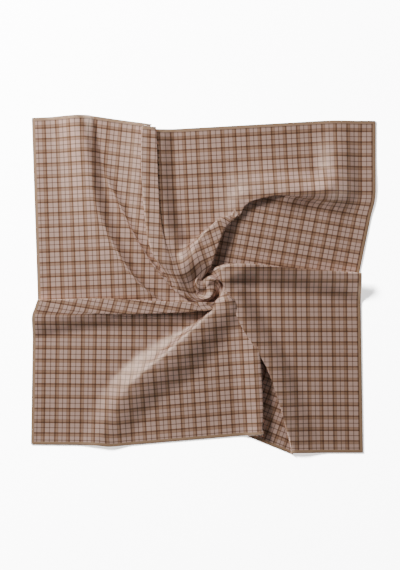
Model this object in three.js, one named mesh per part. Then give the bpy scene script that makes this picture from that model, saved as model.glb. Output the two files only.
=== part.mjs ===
// Square silk scarf laid on a table and pinched in the middle: four pleats, a roll and some
// soft ridges run in from the edges and wind up in a small twisted knot.
// One piece of cloth with a rolled hem.  Millimetres, +Z up, rests on z = 0.
import * as THREE from "three";

// Driving sizes
const clothSide = 903;          // the scarf opened out flat, with its hem
const sheetThick = 1.2;         // solid sheet; real silk twill is thinner
const restGap = 0.05;           // keeps the lowest facets from dipping under z = 0
const columnCount = 50;         // grid cells across the cloth
const rowCount = 46;            // and down it
const hemLift = 2.6;            // the cloth comes up this much to its rolled hem,
const hemReach = 45;            // over this width
const heart = { u: 20, v: 6, x: 8, y: -2 };   // middle of the twist: on the cloth, and as it lies
const calmRing = [48, 125];    // pleats open out between these radii on the cloth
const farRing = [75, 185];     // and the roll and its crease between these
const knot = {
  inner: 50, outer: 114,        // on the cloth: all knot inside, none outside
  lean: 38, leanTo: 225,        // the outer limit is this much farther off towards this bearing
  turn: 190, turnReach: 150,     // degrees of twist at the heart, radius where it has died away
  tight: 0.52, tightReach: 78,   // cloth drawn in to this share of its length by that radius
  crown: 17, moat: 12, moatRing: 63, moatWide: 20,
  petals: 3, petalRise: 8, petalRing: 42, petalWide: 26,
};

// Areas where the cloth lies nearly flat.  Cloth point (u, v) lies at (x, y); the rows of
// the weave are turned by row degrees, its columns by col degrees; ku, kv: drawn-in length.
const areas = {
  leftTop:     { u: -450, v: 450, x: -406, y: 397, row: 2.2, col: 1.9, ku: 1, kv: 1 },
  leftSlope:   { u: -336, v: 450, x: -289, y: 401, row: -2, col: -1, ku: 1, kv: 1 },
  besidePleat: { u: -221, v: 427, x: -175, y: 365, row: -8.5, col: -5, ku: 1, kv: 1 },
  pleatTop:    { u: -126, v: 450, x: -130, y: 374, row: -5, col: -1, ku: 1, kv: 1 },
  rightTop:    { u: 169, v: 450, x: 126, y: 381, row: 3.2, col: 2.5, ku: 1, kv: 1 },
  rightCorner: { u: 450, v: 450, x: 407, y: 390, row: 0, col: 0, ku: 1, kv: 1 },
  rightUnder:  { u: 450, v: 307, x: 411.5, y: 244, row: -9.5, col: -11.5, ku: 1, kv: 0.99 },
  roll:        { u: 58, v: 166, x: 14.8, y: 129.8, row: 24, col: 17, ku: 0.96, kv: 0.98 },
  rightLow:    { u: 450, v: -450, x: 377, y: -395, row: 0, col: 0.9, ku: 1, kv: 0.997 },
  pleatFloor:  { u: 150, v: -450, x: 121, y: -362, row: -22, col: -20, ku: 0.87, kv: 1 },
  middleLow:   { u: 110, v: -450, x: 155, y: -349, row: 4.8, col: 3, ku: 1, kv: 0.99 },
  leftLow:     { u: -450, v: -450, x: -408, y: -375.5, row: -0.6, col: -0.9, ku: 1, kv: 0.99 },
  leftBand:    { u: -242, v: -70, x: -175, y: -34, row: -9, col: -17, ku: 1, kv: 1 },
};

// Folds between those areas.  Columns: u, v along the line on the cloth, length of cloth in
// one turn, rise, reach over which the raised side comes down again.
// Upright folds run downwards, level folds right to left; the + side is on the left hand.
const folds = {
  ridgeOne: [
    [-336, 450, 29, 14, 30], [-317, 336, 26, 14, 34], [-307, 260, 24, 13, 34],
    [-283, 188, 24, 13, 34], [-245, 117, 24, 14, 34], [-202, 57, 21, 14, 30],
    [-145, 12, 19, 12, 26], [-69, -2, 19, 10, 24], [26, 2, 19, 5, 24]],
  ridgeTwo: [
    [-307, 402, 14, 0, 20], [-274, 314, 21, 4, 26], [-236, 248, 21, 7, 26], [-202, 188, 21, 9, 26],
    [-169, 140, 21, 12, 26], [-136, 102, 19, 14, 24], [-93, 64, 17, 12, 22], [-40, 31, 17, 10, 20],
    [26, 2, 17, 5, 20]],
  pleatLeftSide: [
    [-170, 450, 13, 16, 90], [-168, 379, 13, 16, 90], [-162, 307, 13, 16, 80],
    [-150, 224, 14, 20, 70], [-138, 169, 17, 24, 60], [-114, 126, 21, 26, 50],
    [-69, 88, 43, 26, 40], [-12, 40, 95, 24, 40], [31, 0, 119, 20, 50], [60, -55, 71, 20, 60],
    [83, -136, 21, 19, 70], [102, -205, 13, 14, 70], [113, -324, 13, 11, 70],
    [130, -450, 13, 10, 70]],
  pleatRightSide: [
    [-86, 450, 13, 21, 50], [-84, 379, 14, 21, 50], [-82, 307, 15, 22, 50], [-74, 224, 17, 25, 48],
    [-60, 169, 22, 28, 46], [-40, 121, 33, 29, 46], [-17, 81, 52, 27, 46], [12, 36, 95, 24, 50],
    [31, 0, 119, 20, 50], [72, -40, 62, 20, 55], [111, -102, 21, 24, 58], [142, -174, 14, 26, 61],
    [180, -255, 13, 23, 63], [234, -364, 14, 20, 68], [268, -450, 21, 8, 70]],
  crossPleat: [
    [450, 33, 13, 33, 64], [286, 31, 13, 34, 64], [190, 33, 14, 33, 62], [107, 26, 38, 26, 54],
    [31, 0, 119, 20, 50], [-50, -17, 57, 22, 50], [-117, -23, 19, 21, 67], [-212, -26, 13, 21, 59],
    [-302, -27, 13, 22, 51], [-450, -39, 13, 22, 52]],
  rollCrease: [
    [450, 330, 14, 0, 50], [260, 300, 14, 0, 50], [200, 276, 14, 0, 50], [160, 257, 14, 0, 50],
    [135, 241, 14, 0, 50], [97, 222, 15, 0, 50], [57, 201, 16, 0, 50], [23, 185, 20, 0, 50],
    [-4, 168, 24, 0, 50], [-12, 140, 26, 0, 50], [-8, 110, 28, 0, 50], [2, 45, 34, 0, 50],
    [26, 2, 40, 0, 50]],
  ridgeThree: [
    [450, 262, 45, 2, 80], [400, 252, 46, 4, 80], [370, 247, 43, 10, 80], [340, 245, 40, 22, 76],
    [310, 247, 37, 32, 76], [280, 248, 36, 34, 82], [250, 249, 35, 31, 88], [222, 250, 32, 27, 94],
    [200, 250, 26, 24, 98], [184, 247, 20, 23, 98], [170, 244, 16, 22, 98], [158, 240, 14, 21, 94],
    [148, 233, 14, 19, 80], [138, 215, 14, 17, 64], [124, 182, 14, 20, 52], [106, 143, 14, 23, 52],
    [92, 119, 14, 23, 50], [73, 95, 15, 23, 50], [56, 72, 20, 17, 50], [38, 36, 40, 10, 50],
    [26, 2, 48, 7, 50]],
  ridgeLow: [
    [26, 2, 19, 3, 30], [26, -38, 19, 3, 30], [2, -93, 19, 3, 36], [-21, -131, 21, 3, 40],
    [-45, -155, 21, 3, 44], [-74, -179, 24, 2, 46], [-112, -210, 24, 0, 48],
    [-149, -242, 26, 0, 48], [-183, -267, 29, 0, 48], [-217, -298, 29, 0, 48],
    [-240, -336, 29, 0, 48], [-264, -407, 24, 0, 48]],
  bandFoot: [
    [26, -79, 12, 15, 30], [-69, -102, 12, 15, 30], [-140, -112, 12, 10, 30],
    [-212, -121, 14, 9, 30], [-283, -129, 19, 7, 30], [-379, -136, 24, 5, 30],
    [-450, -138, 24, 3, 30]],
};

// Soft swells that only lift the cloth.  Columns: u, v, rise, reach on the - side, on the + side.
const swells = {
  leftSwell: [
    [-342, 460, 26, 78, 34], [-326, 390, 25, 80, 36], [-317, 336, 20, 82, 38],
    [-307, 260, 16, 86, 38], [-283, 188, 14, 96, 36], [-245, 117, 15, 100, 34],
    [-202, 57, 15, 100, 30], [-145, 12, 13, 95, 26], [-69, -2, 10, 60, 24], [26, 2, 5, 40, 24]],
  cornerSwell: [
    [360, 480, 1, 66, 50], [360, 430, 4, 66, 54], [360, 390, 11, 66, 60], [358, 330, 18, 66, 64],
    [352, 290, 18, 68, 70], [344, 262, 12, 66, 80], [330, 235, 5, 64, 90], [310, 200, 0, 60, 90]],
  lowSwell: [
    [40, -44, 9, 26, 44], [30, -104, 16, 30, 58], [2, -148, 20, 40, 70], [-34, -185, 22, 56, 76],
    [-70, -212, 25, 66, 82], [-117, -248, 26, 69, 86], [-172, -282, 25, 66, 84],
    [-224, -326, 23, 58, 82], [-260, -382, 15, 56, 76], [-282, -446, 7, 56, 66]],
  middleRidge: [
    [104, -120, 0, 50, 30], [98, -200, 10, 55, 26], [94, -300, 14, 60, 24],
    [100, -400, 12, 60, 24], [108, -470, 8, 60, 24]],
};

// Where one shape hands over to the next, from and to, on the cloth.
const spans = {
  acrossMiddle: [-93, 145],     // u: from the left half to the right half
  topCorner: [280, 420],        // u: towards the top right corner
  rollEnd: [82, 142],           // u: the roll's right end
  leanStart: [-40, 230],        // u: ridge three comes up to its full height
  underEnd: [240, 330],         // u: the layer hidden under it comes down flat
  floorStart: [-312, -145],     // v: from the bottom pleat's own floor to the cloth beside it
  topNarrows: [90, 220],        // u: the cross pleat's level top ends sooner
  topWidens: [290, 430],        // u: and lasts a little longer by the right edge
};
const crossTop = { left: 38, middle: -12, right: 4 };   // how far that level top goes
const underRoll = { share: 0.7, start: 10, end: 62, endInRoll: 80 };   // the hidden layer's height and fall
const ridgeTwoBefore = 24;      // reach of ridge two on its - side
const footShare = 0.6;          // height of the band over its foot
const pleatCrown = 9;           // the top pleat's own crown beside its left fold
const lowHold = 5;              // level cloth beside the open pleat's right fold
const heartDraw = 0.85;         // drawn-in share at the very heart

const degrees = Math.PI / 180;
const mix = (a, b, w) => a + (b - a) * w;
const mixPoint = (p, q, w) => [mix(p[0], q[0], w), mix(p[1], q[1], w)];
const clamp = (x, a, b) => Math.min(b, Math.max(a, x));
// 0 below a, 1 above b, 3t^2 - 2t^3 between
const ease = (x, a, b) => {
  const t = clamp((x - a) / (b - a), 0, 1);
  return t * t * (3 - 2 * t);
};
// one soft ridge: cosine squared, falling over `before` on the - side and `after` on the + side
const hump = (away, before, after) => {
  const share = away < 0 ? -away / before : away / after;
  return Math.cos(Math.PI / 2 * clamp(share, 0, 1)) ** 2;
};

// A table of rows drawn out into a smooth line: a Catmull-Rom curve through the rows,
// with the unit normal (towards the + side) as two more columns.
function smoothLine(rows, steps = 4) {
  const first = rows[0].map((value, i) => 2 * value - rows[1][i]);
  const last = rows.at(-1).map((value, i) => 2 * value - rows.at(-2)[i]);
  const all = [first, ...rows, last];
  const line = [];
  for (let i = 1; i < all.length - 2; i++) {
    for (let j = 0; j < steps; j++) {
      const t = j / steps;
      line.push(all[i].map((b, n) => {
        const [a, c, d] = [all[i - 1][n], all[i + 1][n], all[i + 2][n]];
        return 0.5 * (2 * b + (c - a) * t + (2 * a - 5 * b + 4 * c - d) * t ** 2
          + (3 * b - a - 3 * c + d) * t ** 3);
      }));
    }
  }
  line.push([...rows.at(-1)]);
  return line.map((point, i) => {
    const before = line[Math.max(0, i - 1)];
    const after = line[Math.min(line.length - 1, i + 1)];
    const [du, dv] = [after[0] - before[0], after[1] - before[1]];
    const length = Math.hypot(du, dv);
    return [...point, -dv / length, du / length];
  });
}
const tables = Object.entries({ ...folds, ...swells });
const lines = Object.fromEntries(tables.map(([name, rows]) => [name, smoothLine(rows)]));

// Signed distance from a line to a cloth point, then the line's other columns at the nearest spot.
function besideLine(name, u, v) {
  const line = lines[name];
  let best = { far: Infinity };
  for (let i = 0; i < line.length - 1; i++) {
    const [a, b] = [line[i], line[i + 1]];
    const [du, dv] = [b[0] - a[0], b[1] - a[1]];
    let f = ((u - a[0]) * du + (v - a[1]) * dv) / (du * du + dv * dv);
    if (i > 0) f = Math.max(0, f);
    if (i < line.length - 2) f = Math.min(1, f);
    const [ru, rv] = [u - a[0] - f * du, v - a[1] - f * dv];
    const far = Math.hypot(ru, rv);
    const away = Math.sign(du * rv - dv * ru) * far;
    if (far < best.far - 1e-9) best = { far, away, a, b, g: clamp(f, 0, 1) };
  }
  return [best.away, ...best.a.slice(2).map((value, i) => mix(value, best.b[i + 2], best.g))];
}

// Where a flat area carries a cloth point.
function lieIn(area, u, v) {
  const [row, col] = [area.row * degrees, area.col * degrees];
  const [du, dv] = [(u - area.u) * area.ku, (v - area.v) * area.kv];
  return [area.x + du * Math.cos(row) - dv * Math.sin(col), area.y + du * Math.sin(row) + dv * Math.cos(col)];
}

// A fold seen along its length: two half turns with a leg between them.  Returns the share of the
// sideways shift (from - to + side) and of the rise reached at distance `away`; the leg lies low
// under the upper side, so that the hidden layers make a wedge.
function foldShape(away, turn, leg, high) {
  const length = 2 * turn + leg;
  const x = clamp(away + length / 2, 0, length);
  const k = turn / Math.PI;
  const arcShift = (y) => y - k * Math.sin(y / k);
  const arcRise = (y) => (1 - Math.cos(y / k)) / 2;
  const whole = 2 * leg + 2 * turn;
  const bend = 0.5 * turn / (turn + 1.5 * leg);
  if (x < turn) return [arcShift(x) / whole, bend * arcRise(x)];
  if (x < turn + leg) {
    const share = (x - turn) / leg;
    const climb = (1 + high) / 2 * share ** 2.2 + (1 - high) / 2 * (1 - (1 - share) ** 2.2);
    return [(turn + 2 * (x - turn)) / whole, bend + (1 - 2 * bend) * climb];
  }
  return [1 - arcShift(length - x) / whole, 1 - bend * arcRise(length - x)];
}

// One fold at a cloth point, between the places p (- side) and q (+ side) would carry it to.
// high: +1 the + side lies on top, -1 the - side does, null neither (a soft ridge).
function foldAt(name, u, v, p, q, high, calm) {
  const [distance, turn, rise, reach, nu, nv] = besideLine(name, u, v);
  const hidden = (p[0] - q[0]) * nu + (p[1] - q[1]) * nv;
  const leg = high === null ? 0 : Math.max(0, hidden / 2 - turn) * calm;
  const inward = Math.min((leg + turn) / 2, Math.max(0, hidden) / 4);
  const away = high === null ? distance : distance - high * inward;
  const [shift, lift] = foldShape(away, turn, leg, high ?? 0);
  return { shift, lift, away, turn, rise, reach, leg };
}

// Height of one soft swell.
function swellAt(name, u, v) {
  const [away, rise, before, after] = besideLine(name, u, v);
  return rise * hump(away, before, after);
}

// The raised side of a fold: full height at its edge and for `hold` after it, eased down over the
// fold's reach to a last 4 mm, which it keeps for as far as the hidden layers go.
function stepDown(fold, side, hold = 0) {
  const past = side * fold.away - Math.min(fold.turn, 24) - 0.5 * fold.leg;
  const rest = Math.min(1, 4 / Math.max(fold.rise, 1)) * Math.min(1, fold.leg / 10);
  return mix(1 - ease(past - hold, 0, fold.reach), 1 - ease(past - fold.leg, 0, 40), rest);
}

// The cloth point (u, v) as it lies: [x, y, z] of the middle of the sheet.
function layCloth(u, v) {
  const at = (name) => lieIn(areas[name], u, v);
  const fromHeart = Math.hypot(u - heart.u, v - heart.v);
  const calm = ease(fromHeart, ...calmRing);
  const farCalm = ease(fromHeart, ...farRing);

  const [outer, slope, beside] = [at("leftTop"), at("leftSlope"), at("besidePleat")];
  const one = foldAt("ridgeOne", u, v, outer, slope, null, calm);
  const two = foldAt("ridgeTwo", u, v, slope, beside, null, calm);
  const upLeft = [0, 1].map((i) => (
    outer[i] + (slope[i] - outer[i]) * one.shift + (beside[i] - slope[i]) * two.shift));
  const zUpLeft = swellAt("leftSwell", u, v) + two.rise * hump(two.away, ridgeTwoBefore, two.reach);

  const top = mixPoint(at("rightTop"), at("rightCorner"), ease(u, ...spans.topCorner));
  const inRoll = 1 - ease(u, ...spans.rollEnd);
  const roll = mixPoint(top, at("roll"), inRoll);
  const crease = foldAt("rollCrease", u, v, top, roll, 1, farCalm * inRoll ** 2);
  const aboveRight = mixPoint(top, roll, crease.shift);
  const three = foldAt("ridgeThree", u, v, aboveRight, at("rightUnder"), -1, farCalm);
  const upRight = mixPoint(aboveRight, at("rightUnder"), three.shift);
  const leanShare = ease(u, ...spans.leanStart);
  const leaning = stepDown(three, -1, three.leg) * leanShare;
  const leanThree = mix(leaning, Math.max(leaning, crease.lift), inRoll);
  const zThree = three.rise * leanThree + swellAt("cornerSwell", u, v);
  const fallEnd = mix(underRoll.end, underRoll.endInRoll, inRoll);
  const fall = ease(three.away, underRoll.start * (1 - inRoll), fallEnd);
  const zUnder = underRoll.share * three.rise * mix(leanShare, 1, inRoll) * (1 - fall)
    * (1 - ease(u, ...spans.underEnd)) + swellAt("cornerSwell", u, v);
  const zUpRight = mix(zThree, zUnder, three.lift);

  const low = foldAt("ridgeLow", u, v, at("leftLow"), at("middleLow"), null, calm);
  const lowFlat = mixPoint(at("leftLow"), at("middleLow"), low.shift);
  const foot = foldAt("bandFoot", u, v, at("leftBand"), lowFlat, -1, calm);
  const lowLeft = mixPoint(at("leftBand"), lowFlat, foot.shift);
  const zLowLeft = low.rise * hump(low.away, low.reach, low.reach) + footShare * foot.rise * (1 - foot.lift)
    + swellAt("lowSwell", u, v) + swellAt("middleRidge", u, v);
  const lowRight = at("rightLow");

  const across = ease(u, ...spans.acrossMiddle);
  const [above, below] = [mixPoint(upLeft, upRight, across), mixPoint(lowLeft, lowRight, across)];
  const cross = foldAt("crossPleat", u, v, above, below, 1, calm);
  const down = cross.shift;
  const [left, right] = [mixPoint(upLeft, lowLeft, down), mixPoint(upRight, lowRight, down)];
  const floor = mixPoint(mixPoint(left, right, 0.5), at("pleatFloor"), 1 - ease(v, ...spans.floorStart));
  const middle = mixPoint(at("pleatTop"), floor, down);
  const leftSide = foldAt("pleatLeftSide", u, v, left, middle, 1 - 2 * down, calm);
  const rightSide = foldAt("pleatRightSide", u, v, middle, right, 2 * down - 1, calm);
  const place = [0, 1].map((i) => (
    left[i] + (middle[i] - left[i]) * leftSide.shift + (right[i] - middle[i]) * rightSide.shift));

  const towardsRight = mix(crossTop.left, crossTop.middle, ease(u, ...spans.topNarrows));
  const crossHold = mix(towardsRight, crossTop.right, ease(u, ...spans.topWidens));
  const zCross = cross.rise * cross.lift * stepDown(cross, 1, crossHold);
  const zAbove = (leftSide.rise * leftSide.lift + pleatCrown * stepDown(leftSide, -1)) * (1 - rightSide.lift)
    + rightSide.rise * rightSide.lift * stepDown(rightSide, 1, rightSide.leg);
  const zBelow = leftSide.rise * (1 - leftSide.lift) * stepDown(leftSide, -1)
    + rightSide.rise * rightSide.lift * stepDown(rightSide, 1, lowHold);
  const zFlat = mix(zUpLeft, zLowLeft, down) * (1 - leftSide.shift) + zUpRight * (1 - down) * rightSide.shift
    + (zCross ** 4 + (calm * mix(zAbove, zBelow, down)) ** 4) ** 0.25;

  // the knot: the cloth round the heart is drawn in and turned, more towards the middle
  const bearing = Math.atan2(v - heart.v, u - heart.u);
  const outerRing = knot.outer + knot.lean * Math.cos(bearing - knot.leanTo * degrees);
  const inKnot = 1 - ease(fromHeart, knot.inner, outerRing);
  const twist = knot.turn * degrees * (1 - ease(fromHeart, 0, knot.turnReach));
  const draw = mix(heartDraw, knot.tight, ease(fromHeart, 10, knot.tightReach));
  const [du, dv] = [(u - heart.u) * draw, (v - heart.v) * draw];
  const [cos, sin] = [Math.cos(twist), Math.sin(twist)];
  const wound = [heart.x + du * cos - dv * sin, heart.y + du * sin + dv * cos];
  const ring = (radius, wide) => Math.exp(-(((fromHeart - radius) / wide) ** 2));
  const zKnot = knot.crown - knot.moat * ring(knot.moatRing, knot.moatWide)
    + knot.petalRise * ring(knot.petalRing, knot.petalWide) * Math.cos(knot.petals * bearing);
  const [x, y] = mixPoint(place, wound, inKnot);
  const fromEdge = half - Math.max(Math.abs(u), Math.abs(v));
  const zHem = hemLift * (1 - ease(fromEdge, 0, hemReach));
  return new THREE.Vector3(x, y, mix(zFlat, zKnot, inKnot) + zHem + sheetThick / 2 + restGap);
}

// Grid lines on the cloth: closer together across the pleats, following them from edge to edge.
// Stops: share of the grid, place on the cloth given the pleat lines there.
function spread(share, stops) {
  const i = stops.findIndex((stop) => share <= stop[0] + 1e-9);
  if (i <= 0) return stops[0][1];
  const [[s0, p0], [s1, p1]] = [stops[i - 1], stops[i]];
  return mix(p0, p1, (share - s0) / (s1 - s0));
}
// Where a line is at a given u (key 0) or v (key 1).
function lineAt(name, key, value) {
  const sorted = lines[name].map((p) => [p[key], p[1 - key]]).sort((a, b) => a[0] - b[0]);
  const i = sorted.findIndex((p) => p[0] >= value);
  if (i === 0) return sorted[0][1];
  if (i < 0) return sorted.at(-1)[1];
  const f = (value - sorted[i - 1][0]) / (sorted[i][0] - sorted[i - 1][0] || 1);
  return mix(sorted[i - 1][1], sorted[i][1], f);
}
const half = clothSide / 2;
function gridPoint(i, j) {
  const crossV = lineAt("crossPleat", 0, mix(-half, half, i / columnCount));
  const v = spread(j / rowCount, [[0, -half], [0.4, crossV - 50], [0.62, crossV + 30], [1, half]]);
  const [l, r] = [lineAt("pleatLeftSide", 1, v), lineAt("pleatRightSide", 1, v)];
  const stops = [[0, -half], [0.34, l - 26], [0.5, (l + r) / 2], [0.66, r + 26], [1, half]];
  const u = spread(i / columnCount, stops);
  return [u, v];
}

// Closed sheet: the middle surface offset half the thickness both ways, joined round the rim.
function scarfGeometry() {
  const columns = columnCount + 1;
  const middle = [];
  for (let j = 0; j <= rowCount; j++) {
    for (let i = 0; i <= columnCount; i++) middle.push(layCloth(...gridPoint(i, j)));
  }
  const at = (i, j) => middle[clamp(j, 0, rowCount) * columns + clamp(i, 0, columnCount)];
  const top = [];
  const bottom = [];
  for (let j = 0; j <= rowCount; j++) {
    for (let i = 0; i <= columnCount; i++) {
      const along = at(i + 1, j).clone().sub(at(i - 1, j));
      const over = at(i, j + 1).clone().sub(at(i, j - 1));
      const normal = along.cross(over).normalize().multiplyScalar(sheetThick / 2);
      top.push(at(i, j).clone().add(normal));
      bottom.push(at(i, j).clone().sub(normal));
    }
  }
  const points = [...top, ...bottom];
  const count = top.length;
  const faces = [];
  for (let j = 0; j < rowCount; j++) {
    for (let i = 0; i < columnCount; i++) {
      const [a, b] = [j * columns + i, j * columns + i + 1];
      const [c, d] = [a + columns, b + columns];
      faces.push(a, b, d, a, d, c);
      faces.push(count + a, count + d, count + b, count + a, count + c, count + d);
    }
  }
  const rim = [];
  for (let i = 0; i < columnCount; i++) rim.push([i, i + 1]);
  for (let j = 0; j < rowCount; j++) rim.push([j * columns + columnCount, (j + 1) * columns + columnCount]);
  for (let i = columnCount; i > 0; i--) rim.push([rowCount * columns + i, rowCount * columns + i - 1]);
  for (let j = rowCount; j > 0; j--) rim.push([j * columns, (j - 1) * columns]);
  for (const [a, b] of rim) faces.push(count + a, b, a, count + a, count + b, b);

  const geometry = new THREE.BufferGeometry();
  const numbers = points.flatMap((p) => [p.x, p.y, p.z]);
  geometry.setAttribute("position", new THREE.Float32BufferAttribute(numbers, 3));
  geometry.setIndex(faces);
  geometry.computeVertexNormals();
  geometry.computeBoundingBox();
  const box = geometry.boundingBox;
  geometry.translate(-(box.min.x + box.max.x) / 2, -(box.min.y + box.max.y) / 2, -box.min.z);
  return geometry;
}

const silk = new THREE.MeshStandardMaterial({
  color: 0xbfa497, roughness: 0.55, metalness: 0, side: THREE.DoubleSide,
});
const scarf = new THREE.Mesh(scarfGeometry(), silk);
scarf.name = "scarf";

const group = new THREE.Group();
group.name = "silk_scarf";
group.add(scarf);
export default group;
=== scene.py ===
# Square checked silk scarf, laid flat and wound up in the middle.
# The cloth is one sheet: a flat square is carried area by area to where it lies, and folded along
# listed lines. Sizes are millimetres unless a note says otherwise; the mesh is made in metres.
import bpy
import numpy as np
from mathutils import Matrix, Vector


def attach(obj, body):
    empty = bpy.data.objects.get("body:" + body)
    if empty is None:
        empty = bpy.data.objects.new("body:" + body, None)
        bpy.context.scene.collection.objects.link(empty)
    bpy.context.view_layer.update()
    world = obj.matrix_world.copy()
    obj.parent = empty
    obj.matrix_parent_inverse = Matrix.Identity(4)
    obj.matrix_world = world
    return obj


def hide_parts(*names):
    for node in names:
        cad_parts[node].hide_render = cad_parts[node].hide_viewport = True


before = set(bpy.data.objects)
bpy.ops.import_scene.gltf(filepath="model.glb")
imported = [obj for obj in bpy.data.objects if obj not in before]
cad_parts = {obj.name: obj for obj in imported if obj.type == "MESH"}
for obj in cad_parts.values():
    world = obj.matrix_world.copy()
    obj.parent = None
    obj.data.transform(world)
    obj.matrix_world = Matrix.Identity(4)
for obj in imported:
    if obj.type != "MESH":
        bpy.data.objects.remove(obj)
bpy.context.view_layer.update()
print("frame loaded")

# what a user would change on the cloth
cloth = {
    "side": 903,                      # opened out flat, with its hem
    "columns": 304, "rows": 300,      # grid lines
    # the pleats take this stretch of the grid, and it reaches this far past their lines
    "rowShares": (0.40, 0.62), "rowPast": (50, 30),
    "columnShares": (0.34, 0.50, 0.66), "columnPast": 26,
    "lift": 0.65,                     # the sheet's middle above the table
    "calmRing": (48, 125),            # pleats open out between these radii on the cloth
    "farRing": (75, 185),             # and the roll and its crease between these
    "hemRoll": 1.3, "hemWound": 300,  # rolled hem: radius, degrees wound
    "hemRings": 6,                    # rings of faces round it
    "hemLift": 2.6, "hemReach": 45,   # the cloth comes up this much to its hem, over this width
}
# middle of the twist: on the cloth, and as it lies
heart = {"u": 20, "v": 6, "x": 8, "y": -2}
knot = {
    "inner": 50, "outer": 114,        # radii on the cloth: all knot inside, none outside
    "lean": 38, "leanTo": 225,        # the outer one is this much larger towards this bearing
    "turn": 190, "turnReach": 150,    # degrees of twist at the heart, radius where it has died away
    "drawn": 0.85,                    # cloth drawn in to this share of its length at the heart
    "tight": 0.52, "tightReach": 78,  # and to this share by that radius
    "crown": 17,                      # height of the middle
    "moat": 12, "moatRing": 63, "moatWide": 20,                       # hollow round it
    "petals": 3, "petalRise": 8, "petalRing": 42, "petalWide": 26,    # creases wound round it
}

# areas where the cloth lies nearly flat: cloth point (u, v) lies at (x, y), rows of the weave turned by
# row degrees, columns by col degrees, ku and kv the drawn-in length
areas = {
    "leftTop": {"u": -450, "v": 450, "x": -406, "y": 397, "row": 2.2, "col": 1.9, "ku": 1, "kv": 1},
    "leftSlope": {"u": -336, "v": 450, "x": -289, "y": 401, "row": -2, "col": -1, "ku": 1, "kv": 1},
    "besidePleat": {"u": -221, "v": 427, "x": -175, "y": 365, "row": -8.5, "col": -5, "ku": 1, "kv": 1},
    "pleatTop": {"u": -126, "v": 450, "x": -130, "y": 374, "row": -5, "col": -1, "ku": 1, "kv": 1},
    "rightTop": {"u": 169, "v": 450, "x": 126, "y": 381, "row": 3.2, "col": 2.5, "ku": 1, "kv": 1},
    "rightCorner": {"u": 450, "v": 450, "x": 407, "y": 390, "row": 0, "col": 0, "ku": 1, "kv": 1},
    "rightUnder": {"u": 450, "v": 307, "x": 411.5, "y": 244, "row": -9.5, "col": -11.5, "ku": 1, "kv": 0.99},
    "roll": {"u": 58, "v": 166, "x": 14.8, "y": 129.8, "row": 24, "col": 17, "ku": 0.96, "kv": 0.98},
    "rightLow": {"u": 450, "v": -450, "x": 377, "y": -395, "row": 0, "col": 0.9, "ku": 1, "kv": 0.997},
    "pleatFloor": {"u": 150, "v": -450, "x": 121, "y": -362, "row": -22, "col": -20, "ku": 0.87, "kv": 1},
    "middleLow": {"u": 110, "v": -450, "x": 155, "y": -349, "row": 4.8, "col": 3, "ku": 1, "kv": 0.99},
    "leftLow": {"u": -450, "v": -450, "x": -408, "y": -375.5, "row": -0.6, "col": -0.9, "ku": 1, "kv": 0.99},
    "leftBand": {"u": -242, "v": -70, "x": -175, "y": -34, "row": -9, "col": -17, "ku": 1, "kv": 1},
}
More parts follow.
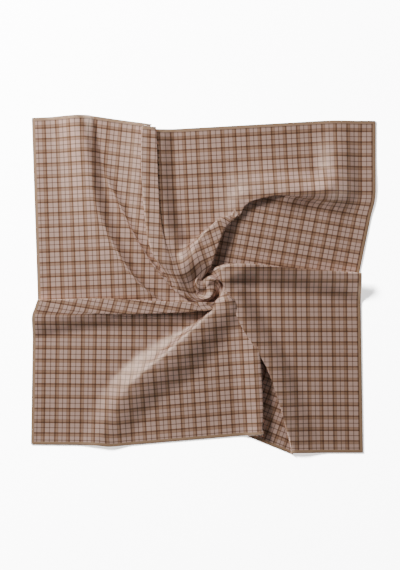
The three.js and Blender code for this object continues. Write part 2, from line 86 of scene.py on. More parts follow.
# folds between the areas: columns u, v on the cloth, length of one turn, rise, reach of the raised side;
# upright folds run downwards, level ones right to left, and the + side is on the left hand
folds = {
    "ridgeOne": [
        [-336, 450, 29, 14, 30], [-317, 336, 26, 14, 34], [-307, 260, 24, 13, 34],
        [-283, 188, 24, 13, 34], [-245, 117, 24, 14, 34], [-202, 57, 21, 14, 30],
        [-145, 12, 19, 12, 26], [-69, -2, 19, 10, 24], [26, 2, 19, 5, 24],
    ],
    "ridgeTwo": [
        [-307, 402, 14, 0, 20], [-274, 314, 21, 4, 26], [-236, 248, 21, 7, 26], [-202, 188, 21, 9, 26],
        [-169, 140, 21, 12, 26], [-136, 102, 19, 14, 24], [-93, 64, 17, 12, 22], [-40, 31, 17, 10, 20],
        [26, 2, 17, 5, 20],
    ],
    "pleatLeftSide": [
        [-170, 450, 13, 16, 90], [-168, 379, 13, 16, 90], [-162, 307, 13, 16, 80],
        [-150, 224, 14, 20, 70], [-138, 169, 17, 24, 60], [-114, 126, 21, 26, 50],
        [-69, 88, 43, 26, 40], [-12, 40, 95, 24, 40], [31, 0, 119, 20, 50], [60, -55, 71, 20, 60],
        [83, -136, 21, 19, 70], [102, -205, 13, 14, 70], [113, -324, 13, 11, 70],
        [130, -450, 13, 10, 70],
    ],
    "pleatRightSide": [
        [-86, 450, 13, 21, 50], [-84, 379, 14, 21, 50], [-82, 307, 15, 22, 50], [-74, 224, 17, 25, 48],
        [-60, 169, 22, 28, 46], [-40, 121, 33, 29, 46], [-17, 81, 52, 27, 46], [12, 36, 95, 24, 50],
        [31, 0, 119, 20, 50], [72, -40, 62, 20, 55], [111, -102, 21, 24, 58], [142, -174, 14, 26, 61],
        [180, -255, 13, 23, 63], [234, -364, 14, 20, 68], [268, -450, 21, 8, 70],
    ],
    "crossPleat": [
        [450, 33, 13, 33, 64], [286, 31, 13, 34, 64], [190, 33, 14, 33, 62], [107, 26, 38, 26, 54],
        [31, 0, 119, 20, 50], [-50, -17, 57, 22, 50], [-117, -23, 19, 21, 67], [-212, -26, 13, 21, 59],
        [-302, -27, 13, 22, 51], [-450, -39, 13, 22, 52],
    ],
    "rollCrease": [
        [450, 330, 14, 0, 50], [260, 300, 14, 0, 50], [200, 276, 14, 0, 50], [160, 257, 14, 0, 50],
        [135, 241, 14, 0, 50], [97, 222, 15, 0, 50], [57, 201, 16, 0, 50], [23, 185, 20, 0, 50],
        [-4, 168, 24, 0, 50], [-12, 140, 26, 0, 50], [-8, 110, 28, 0, 50], [2, 45, 34, 0, 50],
        [26, 2, 40, 0, 50],
    ],
    "ridgeThree": [
        [450, 262, 45, 2, 80], [400, 252, 46, 4, 80], [370, 247, 43, 10, 80], [340, 245, 40, 22, 76],
        [310, 247, 37, 32, 76], [280, 248, 36, 34, 82], [250, 249, 35, 31, 88], [222, 250, 32, 27, 94],
        [200, 250, 26, 24, 98], [184, 247, 20, 23, 98], [170, 244, 16, 22, 98], [158, 240, 14, 21, 94],
        [148, 233, 14, 19, 80], [138, 215, 14, 17, 64], [124, 182, 14, 20, 52], [106, 143, 14, 23, 52],
        [92, 119, 14, 23, 50], [73, 95, 15, 23, 50], [56, 72, 20, 17, 50], [38, 36, 40, 10, 50],
        [26, 2, 48, 7, 50],
    ],
    "ridgeLow": [
        [26, 2, 19, 3, 30], [26, -38, 19, 3, 30], [2, -93, 19, 3, 36], [-21, -131, 21, 3, 40],
        [-45, -155, 21, 3, 44], [-74, -179, 24, 2, 46], [-112, -210, 24, 0, 48],
        [-149, -242, 26, 0, 48], [-183, -267, 29, 0, 48], [-217, -298, 29, 0, 48],
        [-240, -336, 29, 0, 48], [-264, -407, 24, 0, 48],
    ],
    "bandFoot": [
        [26, -79, 12, 15, 30], [-69, -102, 12, 15, 30], [-140, -112, 12, 10, 30],
        [-212, -121, 14, 9, 30], [-283, -129, 19, 7, 30], [-379, -136, 24, 5, 30],
        [-450, -138, 24, 3, 30],
    ],
}
# soft swells that only lift the cloth: columns u, v, rise, reach on the - side, reach on the + side
swells = {
    "leftSwell": [
        [-342, 460, 26, 78, 34], [-326, 390, 25, 80, 36], [-317, 336, 20, 82, 38],
        [-307, 260, 16, 86, 38], [-283, 188, 14, 96, 36], [-245, 117, 15, 100, 34],
        [-202, 57, 15, 100, 30], [-145, 12, 13, 95, 26], [-69, -2, 10, 60, 24], [26, 2, 5, 40, 24],
    ],
    "cornerSwell": [
        [360, 480, 1, 66, 50], [360, 430, 4, 66, 54], [360, 390, 11, 66, 60], [358, 330, 18, 66, 64],
        [352, 290, 18, 68, 70], [344, 262, 12, 66, 80], [330, 235, 5, 64, 90], [310, 200, 0, 60, 90],
    ],
    "lowSwell": [
        [40, -44, 9, 26, 44], [30, -104, 16, 30, 58], [2, -148, 20, 40, 70], [-34, -185, 22, 56, 76],
        [-70, -212, 25, 66, 82], [-117, -248, 26, 69, 86], [-172, -282, 25, 66, 84],
        [-224, -326, 23, 58, 82], [-260, -382, 15, 56, 76], [-282, -446, 7, 56, 66],
    ],
    "middleRidge": [
        [104, -120, 0, 50, 30], [98, -200, 10, 55, 26], [94, -300, 14, 60, 24],
        [100, -400, 12, 60, 24], [108, -470, 8, 60, 24],
    ],
}
# where one shape hands over to the next, from and to, on the cloth
spans = {
    "acrossMiddle": (-93, 145),       # u: from the left half to the right half
    "topCorner": (280, 420),          # u: towards the top right corner
    "rollEnd": (82, 142),             # u: the roll's right end
    "leanStart": (-40, 230),          # u: ridge three leans back on the cloth above it from here on
    "underEnd": (240, 330),           # u: the layer hidden under it comes down flat
    "floorStart": (-312, -145),       # v: from the bottom pleat's own floor to the cloth beside it
    "topNarrows": (90, 220),          # u: the cross pleat's level top ends sooner
    "topWidens": (290, 430),          # u: and lasts a little longer by the right edge
}
# how far the raised sides of the folds and the layers under them go
layers = {
    "levelTop": {"left": 38, "middle": -12, "right": 4},    # the cross pleat's level top, past its edge
    "under": 0.7,                     # the layer hidden under ridge three: share of the ridge's rise
    "underStart": 10, "underEnd": 62, "underEndInRoll": 80,   # and where it comes down
    "ridgeTwoBefore": 24,             # reach of ridge two on its - side
    "foot": 0.6,                      # left band over its foot: share of the foot's rise
    "pleatCrown": 9,                  # the top pleat's own crown beside its left fold
    "lowHold": 5,                     # level cloth beside the open pleat's right fold
    "lastRise": 4, "lastReach": 40,   # what stays of a raised side over its layers, and its way down
    "widestTurn": 24, "fullLeg": 10,  # turns count up to this, legs make layers in full from this on
    "wedge": 2.2,                     # how late a leg climbs: its share of the way to this power
}


def ease(x, a, b):
    # 0 below a, 1 above b, and 3t^2 - 2t^3 between
    t = np.clip((x - a) / (b - a), 0, 1)
    return t * t * (3 - 2 * t)


def mix(a, b, w):
    # a where w is 0, b where w is 1, in a straight line between
    if np.ndim(a) > np.ndim(w):
        w = w[..., None]
    return a + (b - a) * w


def hump(away, before, after):
    # one soft ridge: cosine squared, falling over `before` on the - side and `after` on the + side
    share = np.clip(np.where(away < 0, -away / before, away / after), 0, 1)
    return np.cos(np.pi / 2 * share) ** 2


def fadeAfter(away, reach):
    # 1 up to the line, easing to 0 over reach
    return 1 - ease(away, 0, reach)


def smoothLine(rows, steps=4):
    # Catmull-Rom curve through the rows of a table, with the unit normal of its + side as two more columns
    rows = np.array(rows, float)
    every = np.vstack([2 * rows[0] - rows[1], rows, 2 * rows[-1] - rows[-2]])
    t = (np.arange(steps) / steps)[None, :, None]
    a, b, c, d = (every[i:len(every) - 3 + i, None, :] for i in range(4))
    line = 0.5 * (2 * b + (c - a) * t + (2 * a - 5 * b + 4 * c - d) * t ** 2
                  + (3 * b - a - 3 * c + d) * t ** 3)
    line = np.vstack([line.reshape(-1, rows.shape[1]), rows[-1]])
    after = np.vstack([line[1:], line[-1]])
    before = np.vstack([line[0], line[:-1]])
    along = (after - before)[:, :2]
    along /= np.linalg.norm(along, axis=1)[:, None]
    return np.column_stack([line, -along[:, 1], along[:, 0]])


def besideLine(line, u, v):
    # signed distance from the line to each cloth point, and the line's other columns at the nearest spot
    far = np.full(u.shape, np.inf)
    away = np.zeros(u.shape)
    there = np.zeros((line.shape[1] - 2,) + u.shape)
    for i in range(len(line) - 1):
        a, b = line[i], line[i + 1]
        du, dv = b[0] - a[0], b[1] - a[1]
        f = ((u - a[0]) * du + (v - a[1]) * dv) / (du * du + dv * dv)
        if i > 0:
            f = np.maximum(0, f)
        if i < len(line) - 2:
            f = np.minimum(1, f)
        ru, rv = u - a[0] - f * du, v - a[1] - f * dv
        distance = np.hypot(ru, rv)
        nearer = distance < far - 1e-9
        far = np.where(nearer, distance, far)
        away = np.where(nearer, np.sign(du * rv - dv * ru) * distance, away)
        g = np.clip(f, 0, 1)
        there = np.where(nearer, a[2:, None, None] * (1 - g) + b[2:, None, None] * g, there)
    return away, there


def lieIn(area, u, v):
    # a flat area carries a cloth point: drawn in by ku and kv, turned by its row and column angles, and
    # put in place
    row, col = np.radians(area["row"]), np.radians(area["col"])
    du, dv = (u - area["u"]) * area["ku"], (v - area["v"]) * area["kv"]
    return np.stack([area["x"] + du * np.cos(row) - dv * np.sin(col),
                     area["y"] + du * np.sin(row) + dv * np.cos(col)], -1)


def foldShape(away, turn, leg, high):
    # two half turns with a leg between: share of the sideways shift and of the rise at each distance;
    # the leg lies low under the upper side and climbs late, so the hidden layers make a wedge
    wedge = layers["wedge"]
    length = 2 * turn + leg
    x = np.clip(away + length / 2, 0, length)
    k = turn / np.pi
    near, end = np.minimum(x, turn), np.minimum(length - x, turn)
    whole = 2 * leg + 2 * turn
    nearShift, endShift = near - k * np.sin(near / k), end - k * np.sin(end / k)
    legShift = np.where(x < turn + leg, turn + 2 * (x - turn), whole - endShift)
    shift = np.where(x < turn, nearShift, legShift)
    bend = 0.5 * turn / (turn + 1.5 * leg)
    share = np.clip((x - turn) / np.maximum(leg, 0.001), 0, 1)
    climb = (1 + high) / 2 * share ** wedge + (1 - high) / 2 * (1 - (1 - share) ** wedge)
    nearLift, endLift = bend * (1 - np.cos(near / k)) / 2, 1 - bend * (1 - np.cos(end / k)) / 2
    legLift = np.where(x < turn + leg, bend + (1 - 2 * bend) * climb, endLift)
    lift = np.where(x < turn, nearLift, legLift)
    return shift / whole, lift


def foldAt(name, u, v, p, q, high, calm):
    # one fold between the places p (its - side) and q (its + side) would carry the cloth to;
    # high is 1 where the + side lies on top, -1 where the - side does, None for a soft ridge
    away, (turn, rise, reach, nu, nv) = besideLine(smoothLine(folds[name]), u, v)
    hidden = (p[..., 0] - q[..., 0]) * nu + (p[..., 1] - q[..., 1]) * nv
    leg = np.zeros(u.shape)
    if high is None:
        high = 0
    else:
        leg = np.maximum(0, hidden / 2 - turn) * calm
        away = away - high * np.minimum((leg + turn) / 2, np.maximum(0, hidden) / 4)
    shift, lift = foldShape(away, turn, leg, high)
    return {"shift": shift, "lift": lift, "away": away, "turn": turn, "rise": rise,
            "reach": reach, "leg": leg}


def swellAt(name, u, v):
    # height of one soft swell
    away, (rise, before, after, nu, nv) = besideLine(smoothLine(swells[name]), u, v)
    return rise * hump(away, before, after)


def stepDown(fold, side, hold=0):
    # the raised side of a fold: full height at its edge and for `hold` after it, eased down over the
    # fold's reach to a last few millimetres, which it keeps for as far as the hidden layers go
    past = side * fold["away"] - np.minimum(fold["turn"], layers["widestTurn"]) - 0.5 * fold["leg"]
    rest = (np.minimum(1, layers["lastRise"] / np.maximum(fold["rise"], 1))
            * np.minimum(1, fold["leg"] / layers["fullLeg"]))
    whole, last = fadeAfter(past - hold, fold["reach"]), fadeAfter(past - fold["leg"], layers["lastReach"])
    return mix(whole, last, rest)


def layCloth(u, v):
    # where each cloth point lies: x and y from the area it is in, shifted across every fold, and its
    # height, the swells added to the folds' own rises
    at = {name: lieIn(area, u, v) for name, area in areas.items()}
    fromHeart = np.hypot(u - heart["u"], v - heart["v"])
    calm = ease(fromHeart, *cloth["calmRing"])
    farCalm = ease(fromHeart, *cloth["farRing"])

    # upper left: two soft ridges beside a broad swell
    one = foldAt("ridgeOne", u, v, at["leftTop"], at["leftSlope"], None, calm)
    two = foldAt("ridgeTwo", u, v, at["leftSlope"], at["besidePleat"], None, calm)
    upLeft = (at["leftTop"] + (at["leftSlope"] - at["leftTop"]) * one["shift"][..., None]
              + (at["besidePleat"] - at["leftSlope"]) * two["shift"][..., None])
    overTwo = two["rise"] * hump(two["away"], layers["ridgeTwoBefore"], two["reach"])
    zUpLeft = swellAt("leftSwell", u, v) + overTwo

    # upper right: the roll and ridge three lie over a hidden layer
    top = mix(at["rightTop"], at["rightCorner"], ease(u, *spans["topCorner"]))
    inRoll = 1 - ease(u, *spans["rollEnd"])
    roll = mix(top, at["roll"], inRoll)
    crease = foldAt("rollCrease", u, v, top, roll, 1, farCalm * inRoll ** 2)
    aboveRight = mix(top, roll, crease["shift"])
    three = foldAt("ridgeThree", u, v, aboveRight, at["rightUnder"], -1, farCalm)
    upRight = mix(aboveRight, at["rightUnder"], three["shift"])
    leanShare = ease(u, *spans["leanStart"])
    leaning = stepDown(three, -1, three["leg"]) * leanShare
    zThree = (three["rise"] * mix(leaning, np.maximum(leaning, crease["lift"]), inRoll)
              + swellAt("cornerSwell", u, v))
    fallEnd = mix(layers["underEnd"], layers["underEndInRoll"], inRoll)
    fall = ease(three["away"], layers["underStart"] * (1 - inRoll), fallEnd)
    zUnder = (layers["under"] * three["rise"] * mix(leanShare, 1, inRoll) * (1 - fall)
              * (1 - ease(u, *spans["underEnd"])) + swellAt("cornerSwell", u, v))
    zUpRight = mix(zThree, zUnder, three["lift"])

    # lower left: a wide swell under the band that the left pleat lies on; lower right is flat
    low = foldAt("ridgeLow", u, v, at["leftLow"], at["middleLow"], None, calm)
    lowFlat = mix(at["leftLow"], at["middleLow"], low["shift"])
    foot = foldAt("bandFoot", u, v, at["leftBand"], lowFlat, -1, calm)
    lowLeft = mix(at["leftBand"], lowFlat, foot["shift"])
    zLowLeft = (low["rise"] * hump(low["away"], low["reach"], low["reach"])
                + layers["foot"] * foot["rise"] * (1 - foot["lift"])
                + swellAt("lowSwell", u, v) + swellAt("middleRidge", u, v))
    lowRight = at["rightLow"]

    # the pleats: one level fold from edge to edge, and the two upright folds of the middle strip
    across = ease(u, *spans["acrossMiddle"])
    above, below = mix(upLeft, upRight, across), mix(lowLeft, lowRight, across)
    cross = foldAt("crossPleat", u, v, above, below, 1, calm)
    down = cross["shift"]
    left, right = mix(upLeft, lowLeft, down), mix(upRight, lowRight, down)
    floor = mix((left + right) / 2, at["pleatFloor"], 1 - ease(v, *spans["floorStart"]))
    middle = mix(at["pleatTop"], floor, down)
    leftSide = foldAt("pleatLeftSide", u, v, left, middle, 1 - 2 * down, calm)
    rightSide = foldAt("pleatRightSide", u, v, middle, right, 2 * down - 1, calm)
    place = (left + (middle - left) * leftSide["shift"][..., None]
             + (right - middle) * rightSide["shift"][..., None])

    levelTop = layers["levelTop"]
    towardsRight = mix(levelTop["left"], levelTop["middle"], ease(u, *spans["topNarrows"]))
    crossHold = mix(towardsRight, levelTop["right"], ease(u, *spans["topWidens"]))
    zCross = cross["rise"] * cross["lift"] * stepDown(cross, 1, crossHold)
    zLeftTop = leftSide["rise"] * leftSide["lift"] + layers["pleatCrown"] * stepDown(leftSide, -1)
    zRight = rightSide["rise"] * rightSide["lift"]
    zAbove = zLeftTop * (1 - rightSide["lift"]) + zRight * stepDown(rightSide, 1, rightSide["leg"])
    zBelow = (leftSide["rise"] * (1 - leftSide["lift"]) * stepDown(leftSide, -1)
              + zRight * stepDown(rightSide, 1, layers["lowHold"]))
    zPleats = (zCross ** 4 + (calm * mix(zAbove, zBelow, down)) ** 4) ** 0.25   # about the higher of the two
    z = (mix(zUpLeft, zLowLeft, down) * (1 - leftSide["shift"])
         + zUpRight * (1 - down) * rightSide["shift"] + zPleats)

    # the knot: the cloth round the heart is drawn in and turned, more towards the middle
    bearing = np.arctan2(v - heart["v"], u - heart["u"])
    outer = knot["outer"] + knot["lean"] * np.cos(bearing - np.radians(knot["leanTo"]))
    inKnot = 1 - ease(fromHeart, knot["inner"], outer)
    twist = np.radians(knot["turn"]) * (1 - ease(fromHeart, 0, knot["turnReach"]))
    draw = mix(knot["drawn"], knot["tight"], ease(fromHeart, 10, knot["tightReach"]))
    du, dv = (u - heart["u"]) * draw, (v - heart["v"]) * draw
    wound = np.stack([heart["x"] + du * np.cos(twist) - dv * np.sin(twist),
                      heart["y"] + du * np.sin(twist) + dv * np.cos(twist)], -1)
    inMoat = np.exp(-((fromHeart - knot["moatRing"]) / knot["moatWide"]) ** 2)
    onPetal = np.exp(-((fromHeart - knot["petalRing"]) / knot["petalWide"]) ** 2)
    zKnot = (knot["crown"] - knot["moat"] * inMoat
             + knot["petalRise"] * onPetal * np.cos(knot["petals"] * bearing))
    place = mix(place, wound, inKnot)
    fromEdge = cloth["side"] / 2 - np.maximum(np.abs(u), np.abs(v))
    z = mix(z, zKnot, inKnot) + cloth["hemLift"] * (1 - ease(fromEdge, 0, cloth["hemReach"]))
    return np.dstack([place, z + cloth["lift"]])


def spread(share, stops):
    # straight stretches between stops (share of the grid, place on the cloth)
    result = np.zeros(np.broadcast(share, *[s[1] for s in stops]).shape)
    for (s0, p0), (s1, p1) in zip(stops[:-1], stops[1:]):
        f = np.clip((share - s0) / (s1 - s0), 0, 1)
        result = np.where(share >= s0, p0 + (p1 - p0) * f, result)
    return result


def lineAt(name, key, wanted):
    # where a fold's line is at the wanted u (key 0) or v (key 1)
    line = smoothLine(folds[name])
    order = np.argsort(line[:, key])
    return np.interp(wanted, line[order, key], line[order, 1 - key])


def gridOnCloth():
    # grid lines follow the pleats and crowd together across them
    half, past = cloth["side"] / 2, cloth["columnPast"]
    i = np.linspace(0, 1, cloth["columns"])[None, :]
    j = np.linspace(0, 1, cloth["rows"])[:, None]
    crossV = lineAt("crossPleat", 0, -half + 2 * half * i)
    (lowShare, highShare), (under, over) = cloth["rowShares"], cloth["rowPast"]
    v = spread(j, [(0, -half), (lowShare, crossV - under), (highShare, crossV + over), (1, half)])
    l, r = lineAt("pleatLeftSide", 1, v), lineAt("pleatRightSide", 1, v)
    places = (-half, l - past, (l + r) / 2, r + past, half)
    u = spread(i, list(zip((0, *cloth["columnShares"], 1), places)))
    return u, v


def rolledHem(points, flat):
    # the rim wound under into a small tube: rings at rim + r (outward sin a - up (1 - cos a)), a the angle
    # wound so far; the flat places go on outward by the length wound, r a
    rows, columns = points.shape[:2]
    index = np.arange(rows * columns).reshape(rows, columns)
    rim = np.concatenate([index[0, :-1], index[:-1, -1], index[-1, :0:-1], index[:0:-1, 0]])
    inner = np.concatenate([index[1, :-1], index[:-1, -2], index[-2, :0:-1], index[:0:-1, 1]])
    place, lies = points.reshape(-1, 3), flat.reshape(-1, 2)
    along = np.roll(place[rim], -2, 0) - np.roll(place[rim], 2, 0)
    up = np.cross(place[rim] - place[inner], along)
    up /= np.linalg.norm(up, axis=1, keepdims=True)
    outward = np.cross(along, up)
    outward /= np.linalg.norm(outward, axis=1, keepdims=True)
    flatOut = np.sign(lies[rim]) * (np.abs(lies[rim]) > cloth["side"] / 2 - 0.001)
    flatOut /= np.linalg.norm(flatOut, axis=1, keepdims=True)
    step = np.arange(1, cloth["hemRings"] + 1)[:, None, None]
    angle = np.radians(cloth["hemWound"]) * step / cloth["hemRings"]
    r = cloth["hemRoll"]
    rings = place[rim] + r * (outward * np.sin(angle) - up * (1 - np.cos(angle)))
    ringFlat = lies[rim] + flatOut * r * angle
    added = rows * columns + np.arange(len(rings) * len(rim)).reshape(-1, len(rim))
    order = np.vstack([rim, added])
    ahead = np.roll(order, -1, 1)
    quads = np.stack([ahead[:-1], order[:-1], order[1:], ahead[1:]], -1).reshape(-1, 4)
    return rings.reshape(-1, 3), ringFlat.reshape(-1, 2), quads


def sheetMesh(name, points, flat):
    # rows of points as one sheet of quads with its rolled hem, uv stored corner by corner
    rows, columns = points.shape[:2]
    index = np.arange(rows * columns).reshape(rows, columns)
    corners = [index[:-1, :-1], index[:-1, 1:], index[1:, 1:], index[1:, :-1]]
    quads = np.stack(corners, -1).reshape(-1, 4)
    hemPoints, hemFlat, hemQuads = rolledHem(points, flat)
    quads = np.concatenate([quads, hemQuads])
    place = np.concatenate([points.reshape(-1, 3), hemPoints]) / 1000
    lies = np.concatenate([flat.reshape(-1, 2), hemFlat]) / fullSide + 0.5
    mesh = bpy.data.meshes.new(name)
    mesh.vertices.add(len(place))
    mesh.vertices.foreach_set("co", place.astype(np.float32).ravel())
    mesh.loops.add(quads.size)
    mesh.loops.foreach_set("vertex_index", quads.astype(np.int32).ravel())
    mesh.polygons.add(len(quads))
    mesh.polygons.foreach_set("loop_start", (np.arange(len(quads)) * 4).astype(np.int32))
    mesh.polygons.foreach_set("loop_total", np.full(len(quads), 4, np.int32))
    mesh.polygons.foreach_set("use_smooth", np.ones(len(quads), bool))
    mesh.update(calc_edges=True)
    layer = mesh.uv_layers.new(name="cloth")
    layer.data.foreach_set("uv", lies[quads.ravel()].astype(np.float32).ravel())
    mesh.validate()
    piece = bpy.data.objects.new(name, mesh)
    bpy.context.scene.collection.objects.link(piece)
    return piece


hemLength = cloth["hemRoll"] * np.radians(cloth["hemWound"])   # cloth wound up in the hem
fullSide = cloth["side"] + 2 * hemLength
u, v = gridOnCloth()
points = layCloth(u, v)
low = points[..., :2].min((0, 1))
high = points[..., :2].max((0, 1))
points[..., :2] -= (low + high) / 2
scarf = sheetMesh("silk_square", points, np.dstack([u, v]))
print("cloth laid:", len(scarf.data.polygons), "faces, spans", np.round(high - low))

# what a user would change on the silk; a yarn's colour is its share of the ground's
silk = {
    "acrossRepeat": 60.0, "downRepeat": 59.0,   # millimetres from one check to the next
    "acrossFirst": 29.8, "downFirst": 24.4,     # from the edge to the first brown line
    "repeatStart": 6.0,                         # from a brown line to the start of the table below
    "ground": (0.610, 0.396, 0.319),
    "brown": (0.335, 0.262, 0.192), "tan": (0.70, 0.63, 0.53),
    "fine": (0.39, 0.355, 0.342), "faint": (0.50, 0.435, 0.392),
    "yarnSoft": 0.3,                            # softness of a stripe's edge
    # painted shade: the rolled hem's tube and outer edge are coloured dark for the roll's shaded side; the
    # tan band is the hem's own colour
    "hemPaintedShade": (0.155, 0.088, 0.053), "hemBand": (0.41, 0.25, 0.15),
    "hemBandWide": 6.2, "hemSoft": 0.4,
    "slub": 0.10, "slubWide": 1.1, "slubLong": 26,   # lighter and darker yarns
    "uneven": 0.05, "unevenSize": 70,           # broad drift of the dye
    "twill": 0.75, "twillDepth": 0.05, "yarnDepth": 0.10, "bump": 0.6,
    "roughness": 0.42, "roughSpread": 0.12, "roughSize": 9.0,
    "gloss": 0.9, "glossTint": (1, 0.78, 0.64),
    "sheen": 0.15, "sheenRoughness": 0.4,
}
# one repeat of the check, from the pale stretch after the first brown line: (ends at, yarn)
stripes = [
    (5.7, None), (7.7, "fine"), (17.9, None), (21.3, "brown"), (26.2, "tan"), (27.6, "faint"),
    (35.8, None), (37.8, "fine"), (46.1, None), (47.5, "faint"), (52.3, "tan"), (55.7, "brown"),
    (60.0, None),
]


def addNode(tree, kind, **settings):
    # a node with its own settings, such as its operation
    node = tree.nodes.new(kind)
    for key, value in settings.items():
        setattr(node, key, value)
    return node


def paintRamp(ramp, stops):
    # puts (place, colour) stops on a colour ramp
    elements = ramp.color_ramp.elements
    while len(elements) < len(stops):
        elements.new(0.5)
    for element, (place, colour) in zip(elements, stops):
        element.position = place
        element.color = (*colour, 1)


def stripeRamp(tree, position):
    # one direction of the check along 0 to 1: each yarn's share of the ground colour, edges a little soft
    ramp = addNode(tree, "ShaderNodeValToRGB")
    yarn = {None: (1, 1, 1), **silk}
    soft = silk["yarnSoft"] / stripes[-1][0]
    stops = [(0, yarn[stripes[0][1]])]
    for (end, name), (_, after) in zip(stripes[:-1], stripes[1:]):
        place = end / stripes[-1][0]
        stops += [(place - soft, yarn[name]), (place + soft, yarn[after])]
    paintRamp(ramp, stops + [(1, yarn[stripes[-1][1]])])
    tree.links.new(position, ramp.inputs[0])
    return ramp.outputs[0]


def silkMaterial():
    # check woven both ways: the two stripe ramps multiplied onto the ground, the hem's own tan band and a
    # painted shade line round its rolled edge by the distance from the edge, slubs drawn out along both
    # yarns, a broad drift of the dye, and a fine twill bump
    material = bpy.data.materials.new("checkedSilk")
    material.use_nodes = True
    tree = material.node_tree
    shader = tree.nodes["Principled BSDF"]
    link = tree.links.new

    def maths(kind, a, b=None, c=None):
        # one Math node; a, b and c are sockets or numbers
        node = addNode(tree, "ShaderNodeMath", operation=kind)
        for i, value in enumerate((a, b, c)):
            if value is None:
                continue
            if isinstance(value, (int, float)):
                node.inputs[i].default_value = value
            else:
                link(value, node.inputs[i])
        return node.outputs[0]

    def blend(kind, factor, a, b):
        # one colour Mix node
        node = addNode(tree, "ShaderNodeMix", data_type="RGBA", blend_type=kind)
        for socket, value in zip((node.inputs["Factor"], node.inputs["A"], node.inputs["B"]),
                                 (factor, a, b)):
            if isinstance(value, (int, float, tuple)):
                socket.default_value = value
            else:
                link(value, socket)
        return node.outputs["Result"]

    def noise(wide, high, detail=2.0):
        # noise with cells this wide across and this high down the cloth, in millimetres
        place = addNode(tree, "ShaderNodeCombineXYZ")
        link(maths("DIVIDE", across, wide), place.inputs[0])
        link(maths("DIVIDE", down, high), place.inputs[1])
        node = addNode(tree, "ShaderNodeTexNoise")
        node.inputs["Scale"].default_value = 1
        node.inputs["Detail"].default_value = detail
        link(place.outputs[0], node.inputs["Vector"])
        return node.outputs[0]

    def around(value, spread):
        # noise value 0 to 1 made into 1 - spread to 1 + spread
        return maths("MULTIPLY_ADD", value, 2 * spread, 1 - spread)

    uvMap = addNode(tree, "ShaderNodeUVMap", uv_map="cloth")
    split = addNode(tree, "ShaderNodeSeparateXYZ")
    link(uvMap.outputs[0], split.inputs[0])
    across = maths("MULTIPLY_ADD", split.outputs[0], fullSide, -hemLength)
    down = maths("MULTIPLY_ADD", split.outputs[1], -fullSide, fullSide - hemLength)

    rampOut = []
    for value, repeat, first in ((across, silk["acrossRepeat"], silk["acrossFirst"]),
                                 (down, silk["downRepeat"], silk["downFirst"])):
        share = maths("DIVIDE", maths("SUBTRACT", value, first + silk["repeatStart"]), repeat)
        rampOut.append(stripeRamp(tree, maths("FRACT", share)))
    check = blend("MULTIPLY", 1.0, rampOut[0], rampOut[1])
    woven = blend("MULTIPLY", 1.0, (*silk["ground"], 1), check)

    # hem: by the distance from the edge, the wound-up cloth below zero; the wound-up tube and the edge
    # are painted dark as shade, then comes the hem's own tan band
    edge = maths("MINIMUM", maths("MINIMUM", across, maths("SUBTRACT", cloth["side"], across)),
                 maths("MINIMUM", down, maths("SUBTRACT", cloth["side"], down)))
    rampLong = 20.0
    hemBandAndShade = addNode(tree, "ShaderNodeValToRGB")
    paintRamp(hemBandAndShade, [(0, silk["hemPaintedShade"]), ((hemLength + silk["hemSoft"]) / rampLong, silk["hemPaintedShade"]),
                          ((hemLength + 3 * silk["hemSoft"]) / rampLong, silk["hemBand"]),
                          (1, silk["hemBand"])])
    link(maths("DIVIDE", maths("ADD", edge, hemLength), rampLong), hemBandAndShade.inputs[0])
    inside = addNode(tree, "ShaderNodeMapRange")
    inside.inputs["From Min"].default_value = silk["hemBandWide"] - silk["hemSoft"]
    inside.inputs["From Max"].default_value = silk["hemBandWide"] + silk["hemSoft"]
    link(edge, inside.inputs["Value"])
    colour = blend("MIX", inside.outputs[0], hemBandAndShade.outputs[0], woven)

    slubs = maths("MULTIPLY", around(noise(silk["slubWide"], silk["slubLong"]), silk["slub"]),
                  around(noise(silk["slubLong"], silk["slubWide"]), silk["slub"]))
    drift = around(noise(silk["unevenSize"], silk["unevenSize"], 3.0), silk["uneven"])
    shade = addNode(tree, "ShaderNodeCombineColor")
    tone = maths("MULTIPLY", slubs, drift)
    for socket in shade.inputs[:3]:
        link(tone, socket)
    link(blend("MULTIPLY", 1.0, colour, shade.outputs[0]), shader.inputs["Base Color"])

    rough = noise(silk["roughSize"], silk["roughSize"], 4.0)
    smoothest = silk["roughness"] - silk["roughSpread"]
    link(maths("MULTIPLY_ADD", rough, 2 * silk["roughSpread"], smoothest), shader.inputs["Roughness"])
    shader.inputs["Specular IOR Level"].default_value = silk["gloss"]
    shader.inputs["Specular Tint"].default_value = (*silk["glossTint"], 1)
    shader.inputs["Sheen Weight"].default_value = silk["sheen"]
    shader.inputs["Sheen Roughness"].default_value = silk["sheenRoughness"]

    # bump: diagonal twill ribs, 0.5 + 0.5 sin(2 pi (across + down) / twill), and the slubs standing up
    ribs = maths("SINE", maths("MULTIPLY", maths("ADD", across, down), 2 * np.pi / silk["twill"]))
    relief = maths("ADD", maths("MULTIPLY_ADD", ribs, silk["twillDepth"] / 2, silk["twillDepth"] / 2),
                   maths("MULTIPLY", slubs, silk["yarnDepth"]))
    bump = addNode(tree, "ShaderNodeBump")
    bump.inputs["Strength"].default_value = silk["bump"]
    bump.inputs["Distance"].default_value = 0.001
    link(relief, bump.inputs["Height"])
    link(bump.outputs[0], shader.inputs["Normal"])
    return material


scarf.data.materials.append(silkMaterial())
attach(scarf, "root")
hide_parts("scarf")
print("silk on")

# floor, light and camera, in metres and watts
view = {
    "frameHigh": 1.357, "aside": -0.0079,   # what the camera takes in, top to bottom, and its place in x
    "lens": 85,                             # focal length in millimetres
    "floor": (0.95, 0.95, 0.95), "floorGlow": 1.2,
    "lamp": (-1.6, 1.4, 1.45), "lampSize": 0.7, "lampPower": 81,
    "floorLamp": 1100, "floorLampAway": 4,  # lamp for the floor alone, this many times as far off
    "fill": 0.15,                           # strength of the pale sky
}


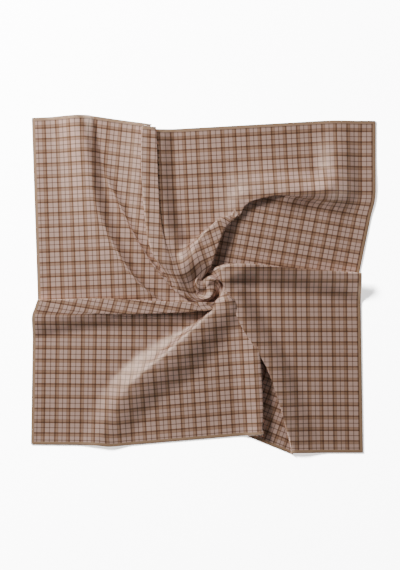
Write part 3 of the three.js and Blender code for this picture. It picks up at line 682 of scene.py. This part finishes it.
def plainFloor():
    # a pale sheet of studio card that glows a little
    bpy.ops.mesh.primitive_plane_add(size=8, location=(0, 0, -0.0005))
    floor = bpy.context.object
    floor.name = "floor"
    paint = bpy.data.materials.new("paleFloor")
    paint.use_nodes = True
    shader = paint.node_tree.nodes["Principled BSDF"]
    shader.inputs["Base Color"].default_value = (*view["floor"], 1)
    shader.inputs["Roughness"].default_value = 0.9
    shader.inputs["Emission Color"].default_value = (1, 1, 1, 1)
    shader.inputs["Emission Strength"].default_value = view["floorGlow"]
    floor.data.materials.append(paint)


def discLamp(name, power, away=1):
    # a round soft lamp at the upper left, aimed at the middle; farther off, larger and, for the same
    # light at the middle, stronger by the square of the factor away
    disc = bpy.data.lights.new(name, "AREA")
    disc.shape = "DISK"
    disc.size = view["lampSize"] * away
    disc.energy = power * away ** 2
    lamp = bpy.data.objects.new(name, disc)
    lamp.location = Vector(view["lamp"]) * away
    lamp.rotation_euler = (-Vector(view["lamp"])).to_track_quat("-Z", "Y").to_euler()
    bpy.context.scene.collection.objects.link(lamp)
    return lamp


def lights():
    # one soft lamp on everything, a stronger one behind it on the floor alone, an even pale sky
    discLamp("softLamp", view["lampPower"])
    floorLamp = discLamp("floorLamp", view["floorLamp"], view["floorLampAway"])
    onlyFloor = bpy.data.collections.new("litFloor")
    onlyFloor.objects.link(bpy.data.objects["floor"])
    floorLamp.light_linking.receiver_collection = onlyFloor
    world = bpy.data.worlds.new("studio")
    world.use_nodes = True
    world.node_tree.nodes["Background"].inputs[0].default_value = (1, 1, 1, 1)
    world.node_tree.nodes["Background"].inputs[1].default_value = view["fill"]
    bpy.context.scene.world = world


def cameraAbove():
    # straight above, as far off as the lens needs for the frame's height
    lens = bpy.data.cameras.new("above")
    lens.lens = view["lens"]
    lens.clip_end = 50
    away = view["frameHigh"] / 2 / (lens.sensor_width / 2 / lens.lens)
    camera = bpy.data.objects.new("above", lens)
    camera.location = (view["aside"], 0, away)
    bpy.context.scene.collection.objects.link(camera)
    bpy.context.scene.camera = camera


plainFloor()
lights()
cameraAbove()
print("stage set")
